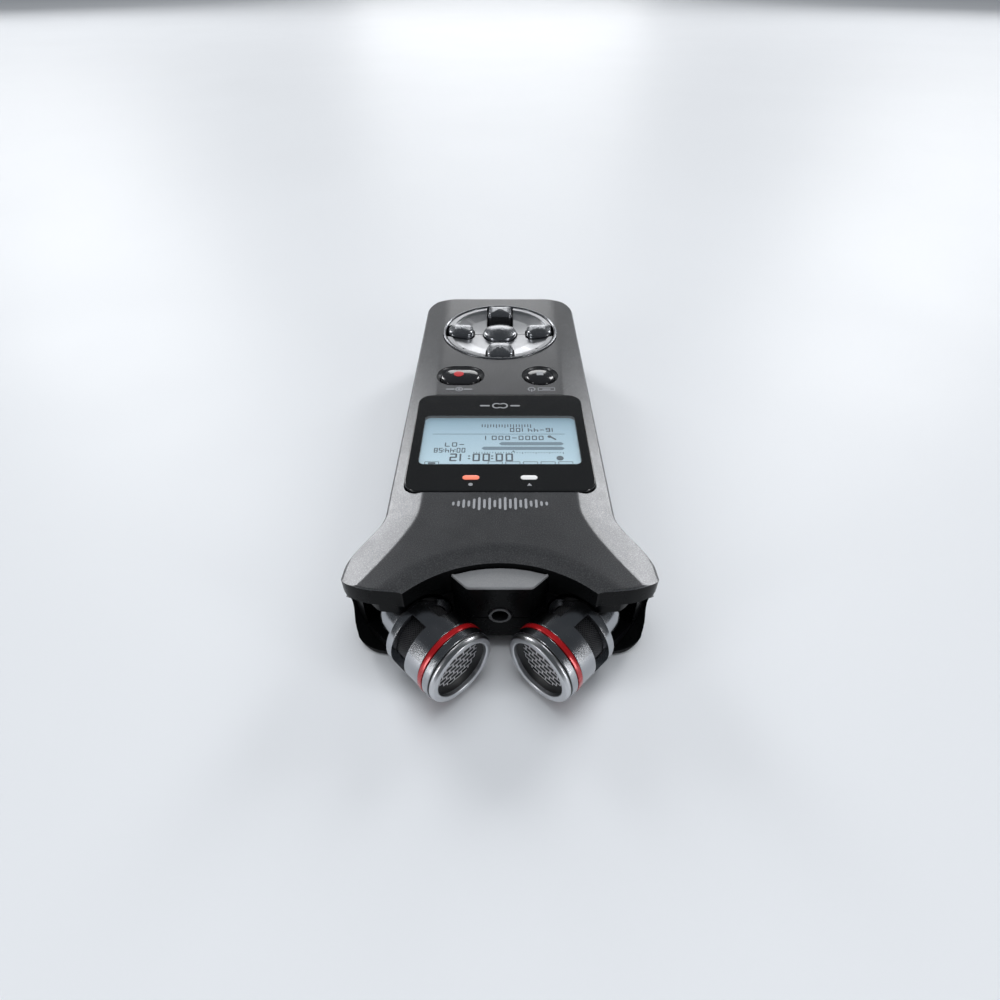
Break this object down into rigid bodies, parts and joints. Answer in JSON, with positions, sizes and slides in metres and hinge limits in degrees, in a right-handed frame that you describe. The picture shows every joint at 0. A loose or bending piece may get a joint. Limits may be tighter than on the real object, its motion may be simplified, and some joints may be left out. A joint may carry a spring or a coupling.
{
  "type": "portable field recorder",
  "caption": "Handheld stereo field recorder with swivelling microphones at one end, a raised display, transport keys and a round control pad.",
  "frame": {"origin": "middle of the whole object's footprint, on the surface it lies on with its back down", "axes": "+Z out of the front face, -Y towards the microphones, +Y towards the tail, +X to the right seen from the microphone end"},
  "size_m": [0.0684, 0.1574, 0.0263],
  "materials": {
    "graphite_paint": "fine metallic satin paint",
    "black_plastic": "satin moulded plastic",
    "gloss_black": "polished",
    "dark_chrome": "polished dark plating",
    "satin_silver": "satin",
    "red_ring": "gloss",
    "black_mesh": "woven wire, black",
    "display": "backlit liquid crystal",
    "clear_window": "clear",
    "coral_lens": "translucent",
    "white_lens": "translucent",
    "dark_rubber": "matte",
    "circuit_board": "solder mask",
    "steel": "plated",
    "brass": "turned brass",
    "cell_jacket": "printed sleeve"
  },
  "bodies": {
    "body": {"front_case": "graphite_paint", "mid_frame": "black_plastic", "rear_case": "black_plastic", "display_panel": "gloss_black", "display_glass": "clear_window", "display_module": "display", "display_holder": "black_plastic", "record_lamp_lens": "coral_lens", "peak_lamp_lens": "white_lens", "pad_ring": "satin_silver", "key_mat": "dark_rubber", "main_board": "circuit_board", "jack_block": "black_plastic", "input_jack": "gloss_black", "phones_jack": "gloss_black", "card_socket": "steel", "usb_socket": "steel", "battery_left": "cell_jacket", "battery_right": "cell_jacket", "battery_contact_front": "steel", "battery_contact_rear": "steel", "speaker": "black_plastic", "tripod_insert": "brass", "case_screw_front_left": "steel", "case_screw_front_right": "steel", "case_screw_rear_left": "steel", "case_screw_rear_right": "steel", "mic_pin_left": "steel", "mic_pin_right": "steel"},
    "record_button": {"record_button": "gloss_black"},
    "power_button": {"power_button": "gloss_black"},
    "play_button": {"play_button": "dark_chrome"},
    "minus_button": {"minus_button": "dark_chrome"},
    "plus_button": {"plus_button": "dark_chrome"},
    "previous_button": {"previous_button": "dark_chrome"},
    "next_button": {"next_button": "dark_chrome"},
    "menu_key": {"menu_key": "satin_silver"},
    "speed_key": {"speed_key": "satin_silver"},
    "mark_key": {"mark_key": "satin_silver"},
    "mixer_key": {"mixer_key": "satin_silver"},
    "volume_up_button": {"volume_up_button": "black_plastic"},
    "volume_down_button": {"volume_down_button": "black_plastic"},
    "hold_switch": {"hold_switch": "black_plastic"},
    "battery_door": {"battery_door": "black_plastic"},
    "card_cover": {"card_cover": "dark_rubber"},
    "mic_left": {"mic_barrel_left": "dark_chrome", "mic_rim_left": "satin_silver", "mic_red_ring_left": "red_ring", "mic_grille_left": "black_mesh", "mic_mesh_left": "black_mesh", "mic_capsule_left": "steel", "mic_neck_left": "satin_silver"},
    "mic_right": {"mic_barrel_right": "dark_chrome", "mic_rim_right": "satin_silver", "mic_red_ring_right": "red_ring", "mic_grille_right": "black_mesh", "mic_mesh_right": "black_mesh", "mic_capsule_right": "steel", "mic_neck_right": "satin_silver"}
  },
  "joints": [
    {"name": "mic_left_swing", "type": "hinge", "parent": "body", "child": "mic_left", "pos_m": [-0.0233, -0.0573, 0.0108], "axis": [0, 0, -1], "range_deg": [0, 90]},
    {"name": "mic_right_swing", "type": "hinge", "parent": "body", "child": "mic_right", "pos_m": [0.0233, -0.0573, 0.0108], "axis": [0, 0, 1], "range_deg": [0, 90]},
    {"name": "record_button_press", "type": "slide", "parent": "body", "child": "record_button", "axis": [0, 0, -1], "range_m": [0, 0.0005], "stiffness_N_per_m": 400},
    {"name": "power_button_press", "type": "slide", "parent": "body", "child": "power_button", "axis": [0, 0, -1], "range_m": [0, 0.0005], "stiffness_N_per_m": 400},
    {"name": "play_button_press", "type": "slide", "parent": "body", "child": "play_button", "axis": [0, 0, -1], "range_m": [0, 0.0005], "stiffness_N_per_m": 400},
    {"name": "minus_button_press", "type": "slide", "parent": "body", "child": "minus_button", "axis": [0, 0, -1], "range_m": [0, 0.0005], "stiffness_N_per_m": 400},
    {"name": "plus_button_press", "type": "slide", "parent": "body", "child": "plus_button", "axis": [0, 0, -1], "range_m": [0, 0.0005], "stiffness_N_per_m": 400},
    {"name": "previous_button_press", "type": "slide", "parent": "body", "child": "previous_button", "axis": [0, 0, -1], "range_m": [0, 0.0005], "stiffness_N_per_m": 400},
    {"name": "next_button_press", "type": "slide", "parent": "body", "child": "next_button", "axis": [0, 0, -1], "range_m": [0, 0.0005], "stiffness_N_per_m": 400},
    {"name": "menu_key_press", "type": "slide", "parent": "body", "child": "menu_key", "axis": [0, 0, -1], "range_m": [0, 0.0005], "stiffness_N_per_m": 400},
    {"name": "speed_key_press", "type": "slide", "parent": "body", "child": "speed_key", "axis": [0, 0, -1], "range_m": [0, 0.0005], "stiffness_N_per_m": 400},
    {"name": "mark_key_press", "type": "slide", "parent": "body", "child": "mark_key", "axis": [0, 0, -1], "range_m": [0, 0.0005], "stiffness_N_per_m": 400},
    {"name": "mixer_key_press", "type": "slide", "parent": "body", "child": "mixer_key", "axis": [0, 0, -1], "range_m": [0, 0.0005], "stiffness_N_per_m": 400},
    {"name": "volume_up_button_press", "type": "slide", "parent": "body", "child": "volume_up_button", "axis": [1, 0, 0], "range_m": [0, 0.0004], "stiffness_N_per_m": 400},
    {"name": "volume_down_button_press", "type": "slide", "parent": "body", "child": "volume_down_button", "axis": [1, 0, 0], "range_m": [0, 0.0004], "stiffness_N_per_m": 400},
    {"name": "hold_switch_slide", "type": "slide", "parent": "body", "child": "hold_switch", "axis": [0, -1, 0], "range_m": [0, 0.004]},
    {"name": "battery_door_slide", "type": "slide", "parent": "body", "child": "battery_door", "axis": [0, 1, 0], "range_m": [0, 0.012]},
    {"name": "card_cover_hinge", "type": "hinge", "parent": "body", "child": "card_cover", "pos_m": [0.0275, 0.001, 0.0086], "axis": [0, 1, 0], "range_deg": [0, 100]}
  ]
}
